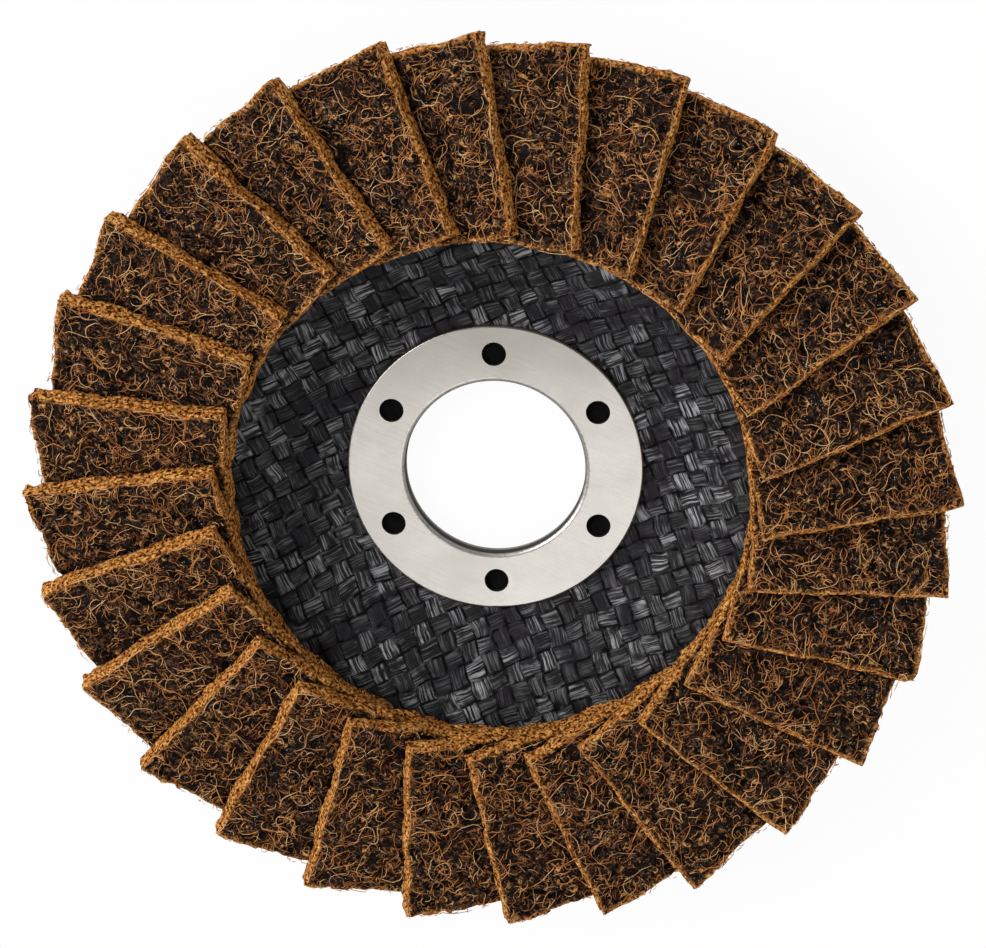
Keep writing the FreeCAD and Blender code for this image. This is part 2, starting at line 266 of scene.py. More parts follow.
@dataclass
class Effects:
    """The effects that more than one finish uses, each built once."""

    web: Tree = field(init=False)
    grit: Tree = field(init=False)
    weave: Tree = field(init=False)

    def __post_init__(self) -> None:
        """Build the groups."""
        self.web = self.build_web()
        self.grit = self.build_grit()
        self.weave = self.build_weave()

    @staticmethod
    def build_web() -> Tree:
        """Curly threads: where noise passes its middle value it leaves closed, thin, wandering lines."""
        group, desk, taken, given = open_group(
            "curly_threads",
            {"Vector": "NodeSocketVector", "Scale": "NodeSocketFloat", "Width": "NodeSocketFloat"},
            {"Threads": "NodeSocketFloat"},
        )
        inputs = {"Vector": taken["Vector"], "Scale": taken["Scale"], "Detail": 1.2, "Distortion": 0.7}
        value = desk.add("ShaderNodeTexNoise", inputs).outputs["Fac"]
        away = desk.math("ABSOLUTE", desk.math("SUBTRACT", value, 0.5))
        share = desk.math("DIVIDE", away, taken["Width"])
        desk.feed(given["Threads"], desk.ease(share, 1.0, 0.25))
        return group

    @staticmethod
    def build_grit() -> Tree:
        """Loose grains: a few of many small cells, each with its own height and painted glint."""
        group, desk, taken, given = open_group(
            "loose_grains",
            {"Vector": "NodeSocketVector", "Scale": "NodeSocketFloat", "Share": "NodeSocketFloat"},
            {"Grains": "NodeSocketFloat"},
        )
        cells = desk.add("ShaderNodeTexVoronoi", {"Vector": taken["Vector"], "Scale": taken["Scale"]})
        pick = desk.add("ShaderNodeSeparateColor", {"Color": cells.outputs["Color"]}).outputs[0]
        chosen = desk.math("LESS_THAN", pick, taken["Share"])
        body = desk.ease(cells.outputs["Distance"], 0.40, 0.10)
        desk.feed(given["Grains"], desk.times(chosen, body))
        return group

    @staticmethod
    def build_weave() -> Tree:
        """Plain weave over unit cells: relief, lengthwise strands, dark gaps and a shade for each cell."""
        group, desk, taken, given = open_group(
            "plain_weave",
            {"Cells": "NodeSocketVector", "Fineness": "NodeSocketFloat"},
            {name: "NodeSocketFloat" for name in ("Relief", "Strands", "Gaps", "Shade")},
        )
        parts = desk.add("ShaderNodeSeparateXYZ", {"Vector": taken["Cells"]}).outputs
        column, line = desk.math("FLOOR", parts[0]), desk.math("FLOOR", parts[1])
        over = desk.math("FLOORED_MODULO", desk.math("ADD", column, line), 2.0)
        across_x, across_y = desk.math("FRACT", parts[0]), desk.math("FRACT", parts[1])
        across = desk.blend(over, across_x, across_y)
        along = desk.blend(over, across_y, across_x)
        side, tip = desk.from_middle(across), desk.from_middle(along)
        crown = desk.math("POWER", side, 3.0)
        arch = desk.math("SINE", desk.times(along, math.pi))
        desk.feed(given["Relief"], desk.times(desk.math("SUBTRACT", 1.0, crown), arch))
        beside, beyond = desk.ease(side, 0.68, 0.90), desk.ease(tip, 0.78, 0.98)
        desk.feed(given["Gaps"], desk.math("MAXIMUM", beside, beyond))
        number = desk.add("ShaderNodeCombineXYZ", {"X": column, "Y": line, "Z": over}).outputs[0]
        shade = desk.add("ShaderNodeTexWhiteNoise", {"Vector": number}).outputs["Value"]
        desk.feed(given["Shade"], shade)
        fine = desk.times(across, taken["Fineness"])
        places = {"X": fine, "Y": desk.times(along, 0.5), "Z": desk.times(shade, 40.0)}
        strand = desk.add("ShaderNodeCombineXYZ", places).outputs[0]
        desk.feed(given["Strands"], desk.noise(strand, 1.0, 3.0))
        return group


# Finishes


def new_material(name: str) -> tuple[Material, NodeDesk, bpy.types.Node]:
    """Start a material.

    Args:
        name: The material's name.

    Returns:
        The material, a desk for its nodes and its main shader.
    """
    material = bpy.data.materials.new(name)
    material.use_nodes = True
    desk = NodeDesk(material.node_tree)
    return material, desk, material.node_tree.nodes["Principled BSDF"]


@dataclass(frozen=True)
class MatFinish:
    """Body of a flap: clotted dark resin and grain, with ochre fibre ends where it was cut, painted shade in its
    pits and painted glints on its grains.
    """

    hollow: Colour = (0.0014, 0.0009, 0.0007)
    dark: Colour = (0.0050, 0.0028, 0.0020)
    brown: Colour = (0.050, 0.024, 0.014)
    light: Colour = (0.17, 0.088, 0.046)
    clot: Colour = (0.013, 0.0085, 0.0080)
    thread_dark: Colour = (0.16, 0.046, 0.012)
    thread_light: Colour = (0.94, 0.46, 0.16)
    cut_dark: Colour = (0.045, 0.011, 0.002)
    cut_middle: Colour = (0.62, 0.205, 0.030)
    cut_light: Colour = (0.98, 0.54, 0.17)
    # Pale grey, painted on grains as glint.
    glint: Colour = (0.42, 0.39, 0.37)
    gloss: float = 0.08
    lumps: float = 2.1
    clots: float = 0.55
    clot_cover: float = 0.6
    ends: float = 2.6
    grains: float = 3.8
    grain_share: float = 0.20
    relief: float = 0.65
    webs: tuple[tuple[float, float, float], ...] = ((0.55, 0.017, 0.0), (1.15, 0.030, 31.0))

    def threads(self, desk: NodeDesk, place: Socket, web: Tree) -> Socket:
        """Broken curly threads of a few sizes: each web's lumps a millimetre, line width and offset."""
        threads: object = 0.0
        for scale, width, offset in self.webs:
            moved = desk.vector("ADD", place, (offset, offset / 2, offset / 3))
            lines = desk.use(web, Vector=moved, Scale=scale, Width=width).outputs[0]
            shown = desk.ease(desk.noise(moved, 0.7), 0.40, 0.60)
            threads = desk.math("MAXIMUM", threads, desk.times(lines, shown))
        return threads

    def build(self, effects: Effects) -> Material:
        """The finish as a material."""
        material, desk, shader = new_material("flap_mat")
        place = desk.millimetres()
        cut = desk.add("ShaderNodeAttribute", attribute_name="cut").outputs["Fac"]
        high = desk.add("ShaderNodeAttribute", attribute_name="tone").outputs["Fac"]
        fine = desk.noise(place, self.lumps, 4.0, 0.6)
        # Partly painted shade: the ramp follows noise for the mat's own mottling and, a fifth of it, how high each
        # place stands, so pits are painted darker.
        level = desk.math("ADD", desk.times(fine, 0.8), desk.times(high, 0.2))
        stops = ((0.50, self.hollow), (0.58, self.dark), (0.66, self.brown), (0.76, self.light))
        body = desk.ramp(level, stops)
        clotted = desk.ease(desk.noise(place, self.clots, 3.0, 0.5), 0.50, 0.62)
        body = desk.mix(desk.times(clotted, self.clot_cover), body, self.clot)
        threads = desk.times(self.threads(desk, place, effects.web), desk.blend(clotted, 1.0, 0.35))
        pale = desk.ease(desk.noise(place, 2 * self.clots, 3.0), 0.38, 0.64)
        tint = desk.mix(pale, self.thread_dark, self.thread_light)
        body = desk.mix(desk.times(threads, 0.9), body, tint)
        stops = ((0.40, self.cut_dark), (0.50, self.cut_middle), (0.63, self.cut_light))
        ends = desk.ramp(desk.noise(place, self.ends, 3.0, 0.4), stops)
        colour = desk.mix(cut, body, ends)
        grains = desk.use(effects.grit, Vector=place, Scale=self.grains, Share=self.grain_share).outputs[0]
        grains = desk.times(grains, desk.ease(desk.noise(place, 0.35), 0.44, 0.60))
        sparkle = desk.times(grains, desk.math("SUBTRACT", 1.0, cut))
        # Painted glints: pale grey specks on grains of the mat's face, not on cut ends; the grains are also
        # glossier there.
        colour = desk.mix(desk.times(sparkle, 0.9), colour, self.glint)
        desk.feed(shader.inputs["Base Color"], colour)
        desk.feed(shader.inputs["Roughness"], desk.blend(sparkle, 0.75, 0.20))
        desk.feed(shader.inputs["Normal"], desk.bump(fine, self.relief, 1.0))
        shader.inputs["Specular IOR Level"].default_value = self.gloss
        return material


@dataclass(frozen=True)
class FibreFinish:
    """Loose fibres of a flap, from dark red-brown to pale tan."""

    dark: Colour = (0.055, 0.016, 0.006)
    brown: Colour = (0.38, 0.125, 0.032)
    tan: Colour = (0.84, 0.36, 0.10)
    pale: Colour = (0.98, 0.68, 0.34)
    gloss: float = 0.3

    def build(self) -> Material:
        """The finish as a material."""
        material, desk, shader = new_material("flap_fibre")
        tone = desk.add("ShaderNodeAttribute", attribute_name="tone").outputs["Fac"]
        place = desk.millimetres()
        change = desk.times(desk.math("SUBTRACT", desk.noise(place, 0.8), 0.5), 0.7)
        value = desk.math("ADD", tone, change, clamp=True)
        stops = ((0.0, self.dark), (0.35, self.brown), (0.72, self.tan), (1.0, self.pale))
        desk.feed(shader.inputs["Base Color"], desk.ramp(value, stops))
        desk.feed(shader.inputs["Roughness"], desk.blend(desk.noise(place, 3.0), 0.35, 0.65))
        shader.inputs["Specular IOR Level"].default_value = self.gloss
        return material


@dataclass(frozen=True)
class ClothFinish:
    """Face cloth: flat black rovings under resin, with a painted highlight of pale grey along their strands,
    painted shade in the gaps, painted shadow under the ring, and dull where resin pooled.
    """

    # Near black, painted as shade in the gaps between rovings and as shadow under the ring.
    gap: Colour = (0.0006, 0.0006, 0.0007)
    strand: Colour = (0.013, 0.012, 0.014)
    # Pale grey, painted along strands as highlight.
    second_tone: Colour = (0.44, 0.44, 0.46)
    pool: Colour = (0.016, 0.014, 0.018)
    dust: Colour = (0.16, 0.11, 0.06)
    gloss: float = 0.16
    pitch: float = 2.2
    turn: float = 22.0
    fineness: float = 11.0
    waver: float = 0.45
    pool_cover: float = 0.8
    dust_cover: float = 0.5
    under_ring: float = 17.8
    relief: float = 0.30

    def build(self, effects: Effects) -> Material:
        """The finish as a material."""
        material, desk, shader = new_material("face_cloth")
        place = desk.millimetres()
        flat = desk.vector("MULTIPLY", place, (1.0, 1.0, 0.0))
        scale = 1.0 / self.pitch
        turn = (0.0, 0.0, -math.radians(self.turn))
        mapping = {"Vector": flat, "Rotation": turn, "Scale": (scale, scale, scale)}
        cells = desk.add("ShaderNodeMapping", mapping, vector_type="POINT").outputs[0]
        inputs = {"Vector": place, "Scale": 0.30, "Detail": 1.0}
        uneven = desk.add("ShaderNodeTexNoise", inputs).outputs["Color"]
        uneven = desk.vector("SUBTRACT", uneven, (0.5, 0.5, 0.5))
        uneven = desk.vector("MULTIPLY", uneven, (self.waver, self.waver, 0.0))
        cells = desk.vector("ADD", cells, uneven)
        weave = desk.use(effects.weave, Cells=cells, Fineness=self.fineness).outputs
        # Painted highlight: pale grey along the strands of some cells, in patches, standing in for the sheen of
        # the glass fibre.
        sheen_strength = desk.blend(desk.math("POWER", weave["Shade"], 2.0), 0.16, 1.0)
        sheen_patches = desk.ease(desk.noise(place, 0.55, 3.0), 0.30, 0.58)
        painted_sheen = desk.times(desk.ease(weave["Strands"], 0.43, 0.62), sheen_strength)
        painted_sheen = desk.times(painted_sheen, sheen_patches)
        colour = desk.mix(painted_sheen, self.strand, self.second_tone)
        pools = desk.ease(desk.noise(place, 0.16, 3.0), 0.50, 0.68)
        colour = desk.mix(desk.times(pools, self.pool_cover), colour, self.pool)
        # Painted shade: the gaps between rovings go near black, except where resin fills them.
        filled = desk.ease(desk.noise(place, 0.7, 2.0), 0.66, 0.40)
        colour = desk.mix(desk.times(weave["Gaps"], filled), colour, self.gap)
        dusty = desk.ease(desk.noise(place, 0.9, 5.0), 0.70, 0.80)
        colour = desk.mix(desk.times(dusty, self.dust_cover), colour, self.dust)
        # Painted shadow: the cloth under the ring's edge goes near black, and dull.
        reach = desk.reach(desk.add("ShaderNodeSeparateXYZ", {"Vector": place}).outputs)
        ring_shadow = desk.ease(reach, self.under_ring, self.under_ring - 0.6)
        desk.feed(shader.inputs["Base Color"], desk.mix(ring_shadow, colour, self.gap))
        gloss = desk.blend(weave["Shade"], 0.45, 0.14)
        dull = desk.math("MAXIMUM", weave["Gaps"], ring_shadow)
        dull = desk.math("MAXIMUM", desk.times(pools, 0.6), dull)
        desk.feed(shader.inputs["Roughness"], desk.blend(dull, gloss, 0.9))
        strands = desk.bump(weave["Strands"], self.relief, 1.0)
        desk.feed(shader.inputs["Normal"], desk.bump(desk.noise(place, 3.0, 3.0), 0.12, 0.5, strands))
        shader.inputs["Specular IOR Level"].default_value = self.gloss
        return material


@dataclass(frozen=True)
class PlateFinish:
    """Backing plate: woven glass in black resin, moulded smooth and satin."""

    resin: Colour = (0.020, 0.019, 0.021)
    second_tone: Colour = (0.050, 0.047, 0.046)
    pitch: float = 3.0
    fineness: float = 8.0

    def build(self, effects: Effects) -> Material:
        """The finish as a material."""
        material, desk, shader = new_material("backing_plate")
        place = desk.millimetres()
        flat = desk.vector("MULTIPLY", place, (1.0, 1.0, 0.0))
        scale = 1.0 / self.pitch
        cells = desk.vector("MULTIPLY", flat, (scale, scale, scale))
        weave = desk.use(effects.weave, Cells=cells, Fineness=self.fineness).outputs
        cloud = desk.noise(place, 0.3, 4.0)
        desk.feed(shader.inputs["Base Color"], desk.mix(cloud, self.resin, self.second_tone))
        desk.feed(shader.inputs["Roughness"], desk.blend(cloud, 0.38, 0.62))
        relief = desk.bump(weave["Relief"], 0.10, 0.5)
        desk.feed(shader.inputs["Normal"], desk.bump(desk.noise(place, 5.0, 3.0), 0.05, 0.4, relief))
        return material


@dataclass(frozen=True)
class AdhesiveFinish:
    """Adhesive bed: dull cured resin, lumpy."""

    resin: Colour = (0.075, 0.042, 0.022)
    dark: Colour = (0.022, 0.014, 0.010)

    def build(self) -> Material:
        """The finish as a material."""
        material, desk, shader = new_material("adhesive_bed")
        place = desk.millimetres()
        lumps = desk.noise(place, 0.8, 4.0)
        desk.feed(shader.inputs["Base Color"], desk.mix(lumps, self.dark, self.resin))
        desk.feed(shader.inputs["Roughness"], desk.blend(lumps, 0.45, 0.75))
        desk.feed(shader.inputs["Normal"], desk.bump(lumps, 0.3, 0.8))
        return material


@dataclass(frozen=True)
class SteelFinish:
    """Centre ring: bright sheet steel with fine brush lines, painted shade on its upper side, and painted shade,
    near black and not metallic, where it dips below its face at the bore and the rim.
    """

    bright: Colour = (0.635, 0.612, 0.572)
    grey: Colour = (0.53, 0.505, 0.46)
    # Darker grey, painted as shade on the ring's upper side.
    second_tone: Colour = (0.36, 0.335, 0.29)
    stain: Colour = (0.20, 0.15, 0.10)
    # Near black, painted as shade where the ring dips below its face.
    dip_shade: Colour = (0.020, 0.012, 0.008)
    brush_turn: float = 25.0
    brush: tuple[float, float, float] = (0.25, 10.0, 1.0)
    top_shade_from: float = 7.0
    top_shade_to: float = 17.0
    stain_from: float = 12.3
    stain_to: float = 11.2
    dip_shade_top: float = 3.34
    dip_shade_foot: float = 2.0
    dip_shade_fade: float = 0.25
    bore_side: float = 12.4
    rim_side: float = 17.6

    def build(self) -> Material:
        """The finish as a material."""
        material, desk, shader = new_material("centre_ring")
        place = desk.millimetres()
        mapping = {"Vector": place, "Rotation": (0.0, 0.0, math.radians(self.brush_turn))}
        brushed = desk.add("ShaderNodeMapping", mapping).outputs[0]
        lines = desk.noise(desk.vector("MULTIPLY", brushed, self.brush), 1.0, 3.0)
        cloud = desk.noise(place, 0.16, 3.0)
        share = desk.times(desk.math("ADD", lines, cloud), 0.5)
        colour = desk.mix(desk.ease(share, 0.38, 0.62), self.grey, self.bright)
        parts = desk.add("ShaderNodeSeparateXYZ", {"Vector": place}).outputs
        reach = desk.reach(parts)
        # Painted shade: the ring's upper side (+Y) is darkened towards the darker grey, more along some brush
        # lines.
        aside = desk.ease(parts[1], self.top_shade_from, self.top_shade_to)
        painted_top_shade = desk.times(aside, desk.blend(lines, 0.45, 0.95))
        colour = desk.mix(painted_top_shade, colour, self.second_tone)
        near = desk.ease(reach, self.stain_from, self.stain_to)
        specks = desk.ease(desk.noise(place, 2.2, 5.0), 0.52, 0.72)
        stained = desk.times(desk.times(near, specks), 0.6)
        colour = desk.mix(stained, colour, self.stain)
        # Painted shade: near black, dull and not metallic on the bore's neck and the rim's bend, below the ring's
        # face.
        below = desk.ease(parts[2], self.dip_shade_top, self.dip_shade_top - self.dip_shade_fade)
        above = desk.ease(parts[2], self.dip_shade_foot, self.dip_shade_foot + self.dip_shade_fade)
        dip_shade_mask = desk.times(below, desk.blend(above, 0.55, 1.0))
        inside = desk.ease(reach, self.bore_side + 0.6, self.bore_side)
        outside = desk.ease(reach, self.rim_side - 0.4, self.rim_side)
        dip_shade_mask = desk.times(dip_shade_mask, desk.math("MAXIMUM", inside, outside))
        desk.feed(shader.inputs["Base Color"], desk.mix(dip_shade_mask, colour, self.dip_shade))
        desk.feed(shader.inputs["Metallic"], desk.math("SUBTRACT", 1.0, dip_shade_mask))
        desk.feed(shader.inputs["Roughness"], desk.blend(dip_shade_mask, desk.blend(lines, 0.30, 0.46), 0.8))
        desk.feed(shader.inputs["Normal"], desk.bump(lines, 0.02, 0.5))
        return material


# Pieces


@dataclass
class FaceCloth:
    """Woven face cloth: two sets of flat rovings that pass over and under each other in the dish."""

    inner: float = 11.8
    outer: float = 34.2
    back: float = 2.45
    floor: float = 0.14
    middle: float = 0.25
    swing: float = 0.15
    crown: float = 0.10
    pitch: float = 2.2
    turn: float = 22.0
    tip: float = 0.16
    groove: float = 1.5
    groove_from: float = 0.86
    pool_size: float = 7.0
    pool_cover: float = 0.6
    sheet: float = 0.12
    seed: int = 5
    repeat: int = 64
    rings: int = 64
    spokes: int = 480
    hub_corner: float = 21.25
    flange_corner: float = 30.09
    depth: float = 4.7
    slope: float = 28.0
    near_round: float = 6.0
    far_round: float = 8.3

    def dish(self, radius: np.ndarray) -> np.ndarray:
        """Height of the dish over the hub at each radius."""
        slope = math.radians(self.slope)
        near_start = self.hub_corner - self.near_round * math.tan(slope / 2)
        far_end = self.flange_corner + self.far_round * math.tan(slope / 2)
        near_end = near_start + self.near_round * math.sin(slope)
        far_start = far_end - self.far_round * math.sin(slope)
        first = self.near_round - np.sqrt(np.maximum(self.near_round ** 2 - (radius - near_start) ** 2, 0.0))
        wall = (radius - self.hub_corner) * math.tan(slope)
        last = np.sqrt(np.maximum(self.far_round ** 2 - (far_end - radius) ** 2, 0.0))
        last = self.depth - self.far_round + last
        places = [radius <= near_start, radius <= near_end, radius <= far_start, radius <= far_end]
        return np.select(places, [np.zeros_like(radius), first, wall, last], self.depth)

    def relief(self, points: np.ndarray) -> np.ndarray:
        """Height of the cloth's face over its back, in millimetres.

        Args:
            points: Places in millimetres, one a row.

        Returns:
            One height for each point.
        """
        cells = turned(points, -self.turn) / self.pitch
        column, line = np.floor(cells[:, 0]), np.floor(cells[:, 1])
        across_x, across_y = cells[:, 0] - column, cells[:, 1] - line
        over = np.where((column + line) % 2 == 0, 1.0, -1.0)
        chance = np.random.default_rng(self.seed).uniform(-1.0, 1.0, (self.repeat, self.repeat, 3))
        own = chance[column.astype(int) % self.repeat, line.astype(int) % self.repeat]
        arch_y = np.sqrt(np.sin(math.pi * across_y))
        arch_x = np.sqrt(np.sin(math.pi * across_x))
        lean = self.tip * (own[:, 0] * (across_x - 0.5) + own[:, 1] * (across_y - 0.5)) * 2
        sides = np.abs(2 * np.stack([across_x, across_y]) - 1)
        fall_x, fall_y = self.crown * sides ** 4 + self.groove * np.maximum(sides - self.groove_from, 0)
        warp = self.middle + self.swing * over * arch_y - fall_x
        weft = self.middle - self.swing * over * arch_x - fall_y
        height = np.maximum(warp, weft) + lean + 0.03 * own[:, 2] * arch_x * arch_y
        pooled = smooth_step(0.15, 0.75, noise_of(points, self.pool_size, 3.7)) * self.pool_cover
        height = height * (1 - pooled) + (self.middle + 0.06) * pooled
        return np.clip(height, self.floor, None)

    def build(self) -> bpy.types.Object:
        """Spin a radial line into a ring and lift it into the dish and the weave."""
        shape = bmesh.new()
        reach = np.linspace(self.inner, self.outer, self.rings + 1)
        line = [shape.verts.new((radius * MM, 0.0, 0.0)) for radius in reach]
        edges = [shape.edges.new(pair) for pair in zip(line, line[1:])]
        bmesh.ops.spin(
            shape, geom=line + edges, cent=(0, 0, 0), axis=(0, 0, 1), angle=2 * math.pi,
            steps=self.spokes, use_merge=True,
        )
        shape.normal_update()
        if next(iter(shape.faces)).normal.z < 0:
            bmesh.ops.reverse_faces(shape, faces=shape.faces)
        points = np.array([vertex.co for vertex in shape.verts]) / MM
        level = self.back + self.dish(np.hypot(points[:, 0], points[:, 1])) + self.relief(points)
        for vertex, height in zip(shape.verts, level):
            vertex.co.z = height * MM
        mesh = bpy.data.meshes.new("face_weave")
        shape.to_mesh(mesh)
        shape.free()
        mesh.shade_smooth()
        piece = linked("face_weave", mesh)
        wall = piece.modifiers.new("sheet", "SOLIDIFY")
        wall.thickness = self.sheet * MM
        wall.offset = -1.0
        return piece


class Side(Enum):
    """The faces of a flap that its fibres stand on."""

    TOP = "top"
    FREE = "free edge"
    INNER = "inner end"
    OUTER = "outer end"


@dataclass(frozen=True)
class FibreKind:
    """How the fibres on one side of a flap look."""

    side: Side
    count: int
    points: int
    step: float
    curl: float
    rise: float
    tone_low: float
    tone_high: float
    thickness: float


@dataclass
class FlapRing:
    """The ring of flaps: equal twisted mats, each a ramp that lies on the next one clockwise."""

    count: int = 28
    first_turn: float = 3.2
    seat: float = 7.55
    thickness: float = 2.95
    clearance: float = 0.1
    length: float = 24.5
    free: float = 9.55
    root: float = 15.5
    lean: float = 17.5
    rake: float = 7.5
    radius: float = 57.5
    grid: float = 0.47
    pull: float = 0.15
    taper: float = 0.10
    hidden_taper: float = 0.12
    hidden_from: float = 12.0
    drawn: float = 14.0
    sway: tuple[float, float, float] = (0.42, 0.42, 0.05)
    sway_size: float = 4.2
    lump_size: float = 1.9
    pit_size: float = 1.25
    grain_size: float = 0.6
    hold: float = 0.45
    seed: int = 20
    slips: tuple[float, ...] = (
        0.0, -0.4, -0.5, 0.1, 0.1, 1.0, 1.1, 0.1, -0.8, -0.7, -0.3, 0.4, -0.5, -1.1,
        -1.0, -0.4, -0.1, -0.3, -0.3, 0.2, 0.4, 0.0, 0.6, -0.4, 0.3, 0.4, 1.1, 0.2,
    )
    kinds: tuple[FibreKind, ...] = (
        FibreKind(Side.TOP, 170, 6, 0.32, 1.4, 0.12, 0.15, 0.95, 0.080),
        FibreKind(Side.TOP, 62, 11, 0.40, 0.8, 0.16, 0.30, 1.0, 0.080),
        FibreKind(Side.FREE, 66, 5, 0.24, 1.6, 0.06, 0.50, 1.0, 0.095),
        FibreKind(Side.INNER, 56, 5, 0.24, 1.6, 0.08, 0.55, 1.0, 0.095),
        FibreKind(Side.OUTER, 32, 5, 0.24, 1.6, 0.06, 0.30, 0.95, 0.095),
    )

    def __post_init__(self) -> None:
        """Work out the places that follow from the sizes."""
        self.step = 360.0 / self.count
        self.climb = (self.thickness + self.clearance) * self.count / (2 * math.pi)
        reach = math.sqrt(self.radius ** 2 - self.free ** 2)
        self.outer = reach - self.thickness * math.sin(math.radians(self.rake))
        self.inner = self.outer - self.length
        corner = self.seat + 2 * self.climb * math.asin(self.free / self.inner)
        self.origin = np.array([self.inner, -self.free, corner])
        rake, lean = math.radians(self.rake), -math.radians(self.lean)
        about_y = np.array([[math.cos(rake), 0, math.sin(rake)], [0, 1, 0], [-math.sin(rake), 0, math.cos(rake)]])
        about_x = np.array([[1, 0, 0], [0, math.cos(lean), -math.sin(lean)], [0, math.sin(lean), math.cos(lean)]])
        self.frame = about_y @ about_x
        self.span = self.length / math.cos(rake)

    def level(self, x: np.ndarray, y: np.ndarray) -> np.ndarray:
        """Height of a flap's underside at places in its own frame, where X is its radius."""
        reach = np.hypot(x, y)
        near, far = self.inner - 1.0, self.radius + 1.0
        lead_near, lead_far = math.asin(self.free / near), math.asin(self.free / far)
        lead = lead_near + (lead_far - lead_near) * (reach - near) / (far - near)
        return self.seat + self.climb * (lead + np.arctan2(-y, x))

    def blank(self, node: bpy.types.Object) -> bpy.types.Mesh:
        """An even, closed mesh of one flap in its own frame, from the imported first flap.

        Args:
            node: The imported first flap.

        Returns:
            The mesh, in metres.
        """
        shape = bmesh.new()
        shape.from_mesh(node.data)
        bmesh.ops.remove_doubles(shape, verts=shape.verts, dist=1e-6)
        turn = Matrix.Rotation(math.radians(self.first_turn - 90.0), 4, "Z")
        bmesh.ops.transform(shape, matrix=turn, verts=shape.verts)
        mesh = bpy.data.meshes.new("flap_blank")
        shape.to_mesh(mesh)
        shape.free()
        holder = linked("flap_blank", mesh)
        even = holder.modifiers.new("even", "REMESH")
        even.mode = "VOXEL"
        even.voxel_size = self.grid * MM
        result = finished_mesh(holder)
        bpy.data.meshes.remove(mesh)
        return result

    def roughness(self, points: np.ndarray, shift: float) -> tuple[np.ndarray, np.ndarray]:
        """How the mat's face stands off its even shape: lumps, hollows and pits.

        Args:
            points: Places in millimetres.
            shift: Offset of this flap's noise.

        Returns:
            How far out each place stands, in millimetres, and how high among the rest, from 0 in a pit to 1.
        """
        lumps = noise_of(points, self.lump_size, shift)
        pits = smooth_step(0.08, 0.50, noise_of(points, self.pit_size, shift + 50.0))
        fine = noise_of(points, self.grain_size, shift + 90.0)
        out = -0.16 + 0.12 * lumps - 0.46 * pits + 0.11 * fine
        return out, np.clip(1.0 - pits + 0.6 * fine + 0.4 * lumps, 0.0, 1.0)

    def settled(self, points: np.ndarray, shift: float) -> np.ndarray:
        """Points of an even flap, moved as the real one has settled.

        Its edges sway, and its outer end is drawn in along the ramp, most where the next flap hides it.

        Args:
            points: Places in its own frame, in millimetres.
            shift: Offset of this flap's noise.

        Returns:
            The moved places.
        """
        sway = np.stack([noise_of(points, self.sway_size, shift + 7.0 + 11.0 * axis) for axis in range(3)], axis=1)
        x, y = points[:, 0], points[:, 1]
        behind = np.clip(y + self.free, 0.0, self.hidden_from * 2)
        drawn = self.pull + self.taper * behind + self.hidden_taper * np.maximum(behind - self.hidden_from, 0.0)
        drawn *= smooth_step(self.outer - self.drawn, self.outer, x)
        moved = points + sway * np.array(self.sway)
        moved[:, 0] -= drawn
        moved[:, 2] += self.level(x - drawn, y) - self.level(x, y)
        return moved

    def place(self, points: np.ndarray, number: int) -> np.ndarray:
        """Points of a flap's own frame, in the disc's frame.

        Args:
            points: Places in millimetres.
            number: The flap's number, from 0.

        Returns:
            The places in metres. A flap out of step slides along its ramp, so it stays clear of the others.
        """
        slip = self.slips[number]
        lift = np.array([0.0, 0.0, self.climb * math.radians(slip)])
        return turned(points + lift, 90.0 - self.first_turn - number * self.step - slip) * MM

    def shaded(self, points: np.ndarray, shift: float) -> np.ndarray:
        """Share of cut fibre ends at each point: all of a cut face, and a ragged border of the top."""
        local = (points - self.origin) @ self.frame
        edge = np.minimum(np.minimum(local[:, 0], self.span - local[:, 0]), local[:, 1])
        ragged = 0.40 * noise_of(points, 0.9, shift + 20.0) + 0.30 * noise_of(points, 0.45, shift + 60.0)
        return smooth_step(0.62, 0.10, edge + ragged)

    def body(self, blank: bpy.types.Mesh, number: int, shift: float) -> bpy.types.Object:
        """The mat of one flap."""
        mesh = blank.copy()
        mesh.name = f"flap_pad_{number + 1:02d}"
        size = len(mesh.vertices) * 3
        places, normals = np.empty(size), np.empty(size)
        mesh.vertices.foreach_get("co", places)
        mesh.vertices.foreach_get("normal", normals)
        places, normals = places.reshape(-1, 3) / MM, normals.reshape(-1, 3)
        cut = self.shaded(places, shift)
        off, high = self.roughness(places, shift)
        off *= 1.0 - self.hold * cut
        moved = self.settled(places, shift) + normals * off[:, None]
        mesh.vertices.foreach_set("co", self.place(moved, number).ravel())
        mesh.attributes.new("cut", "FLOAT", "POINT").data.foreach_set("value", cut)
        # The tone attribute of the mat holds how high each place stands, which its colour uses to paint shade in
        # the pits.
        mesh.attributes.new("tone", "FLOAT", "POINT").data.foreach_set("value", high)
        mesh.shade_smooth()
        return bpy.data.objects.new(mesh.name, mesh)

    def surface(self, side: Side, first: np.ndarray, second: np.ndarray) -> tuple[np.ndarray, np.ndarray]:
        """Points on one side of a flap, and the way out of it.

        Args:
            side: The side.
            first: Way along the side: the radius, or the way across for an end.
            second: Way across the top, or the share of the thickness.

        Returns:
            The points and their outward directions.
        """
        if side is Side.TOP:
            z = self.level(first, second) + self.thickness
            points = np.stack([first, second, z], axis=1)
            tilt = self.climb / first
            out = np.stack([0.07 + 0 * first, tilt, np.ones_like(first)], axis=1)
        else:
            depth = second * self.thickness
            if side is Side.FREE:
                x, y = first, np.full_like(first, -self.free)
                out = np.tile(-self.frame[:, 1], (len(first), 1))
            else:
                x = np.full_like(first, self.inner if side is Side.INNER else self.outer)
                y = first
                out = np.tile(self.frame[:, 0] * (-1 if side is Side.INNER else 1), (len(first), 1))
            points = np.stack([x, y, self.level(x, y)], axis=1) + depth[:, None] * self.frame[:, 2]
        return points, out / np.linalg.norm(out, axis=1)[:, None]

